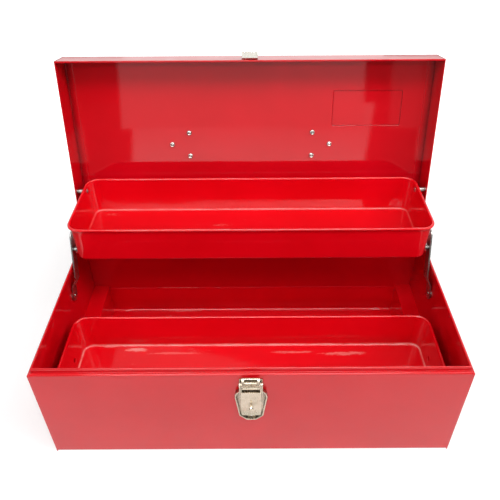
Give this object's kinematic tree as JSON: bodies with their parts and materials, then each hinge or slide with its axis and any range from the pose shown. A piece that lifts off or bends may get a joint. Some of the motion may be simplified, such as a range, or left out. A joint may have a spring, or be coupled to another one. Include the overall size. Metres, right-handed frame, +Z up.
{
  "type": "cantilever tool box",
  "caption": "Steel tool box whose hinged lid lifts an upper tray on parallel links, over a lift-out lower tray, with a draw latch in front and a swinging handle on top.",
  "frame": {"origin": "centre of the box's underside", "axes": "+X along the width to the viewer's right, +Y from the latch to the hinge, +Z up"},
  "size_m": [0.443, 0.3142, 0.3589],
  "materials": {
    "red_enamel": "gloss",
    "zinc_plate": "satin",
    "nickel_plate": "satin",
    "black_plastic": "matt"
  },
  "bodies": {
    "box": {"body_wrap": "red_enamel", "end_panel_left": "red_enamel", "end_panel_right": "red_enamel", "floor_liner": "red_enamel", "hinge_leaf_body": "zinc_plate", "hinge_pin": "zinc_plate", "arm_pivot_left": "zinc_plate", "arm_pivot_right": "zinc_plate", "pivot_washers": "zinc_plate", "latch_base": "nickel_plate", "latch_rivets": "zinc_plate", "latch_pivots": "nickel_plate", "padlock_staple": "nickel_plate"},
    "lid": {"lid_wrap": "red_enamel", "lid_end_left": "red_enamel", "lid_end_right": "red_enamel", "hinge_leaf_lid": "red_enamel", "lid_strike": "nickel_plate", "strike_rivets": "zinc_plate", "handle_bracket_left": "zinc_plate", "handle_bracket_right": "zinc_plate", "handle_rivets": "zinc_plate"},
    "upper_tray": {"upper_tray": "red_enamel", "tray_pin_left": "zinc_plate", "tray_pin_right": "zinc_plate", "arm_rivet_left": "zinc_plate", "arm_rivet_right": "zinc_plate"},
    "arm_left": {"arm_left": "zinc_plate"},
    "arm_right": {"arm_right": "zinc_plate"},
    "lower_tray": {"lower_tray": "red_enamel"},
    "latch_lever": {"latch_lever": "nickel_plate", "link_pin": "nickel_plate"},
    "latch_link": {"latch_link": "nickel_plate"},
    "handle": {"handle_bail": "zinc_plate", "handle_grip": "black_plastic"}
  },
  "joints": [
    {"name": "lid_hinge", "type": "hinge", "parent": "box", "child": "lid", "pos_m": [0, 0.1103, 0.1345], "axis": [1, 0, 0], "range_deg": [0, 101.2]},
    {"name": "upper_tray_pivot", "type": "hinge", "parent": "lid", "child": "upper_tray", "pos_m": [0, 0.13, 0.1917], "axis": [1, 0, 0], "range_deg": [-101.2, 0]},
    {"name": "arm_left_pivot", "type": "hinge", "parent": "box", "child": "arm_left", "pos_m": [-0.214, 0.03676, 0.1005], "axis": [1, 0, 0], "range_deg": [0, 101.2]},
    {"name": "arm_right_pivot", "type": "hinge", "parent": "box", "child": "arm_right", "pos_m": [0.214, 0.03676, 0.1005], "axis": [1, 0, 0], "range_deg": [0, 101.2]},
    {"name": "lower_tray_lift", "type": "slide", "parent": "box", "child": "lower_tray", "axis": [0, 0, -1], "range_m": [-0.006, 0]},
    {"name": "latch_lever", "type": "hinge", "parent": "box", "child": "latch_lever", "pos_m": [0, -0.114, 0.1234], "axis": [-1, 0, 0], "range_deg": [0, 90]},
    {"name": "latch_link", "type": "hinge", "parent": "latch_lever", "child": "latch_link", "pos_m": [0, -0.114, 0.1192], "axis": [-1, 0, 0], "range_deg": [-90, 0]},
    {"name": "handle_swing", "type": "hinge", "parent": "lid", "child": "handle", "pos_m": [0, 0.17375, 0.23611], "axis": [1, 0, 0], "range_deg": [-8, 166]}
  ],
  "couplings": [
    {"joint": "upper_tray_pivot", "follows": "lid_hinge", "ratio": -1},
    {"joint": "arm_left_pivot", "follows": "lid_hinge", "ratio": 1},
    {"joint": "arm_right_pivot", "follows": "lid_hinge", "ratio": 1},
    {"joint": "latch_link", "follows": "latch_lever", "ratio": -1}
  ]
}
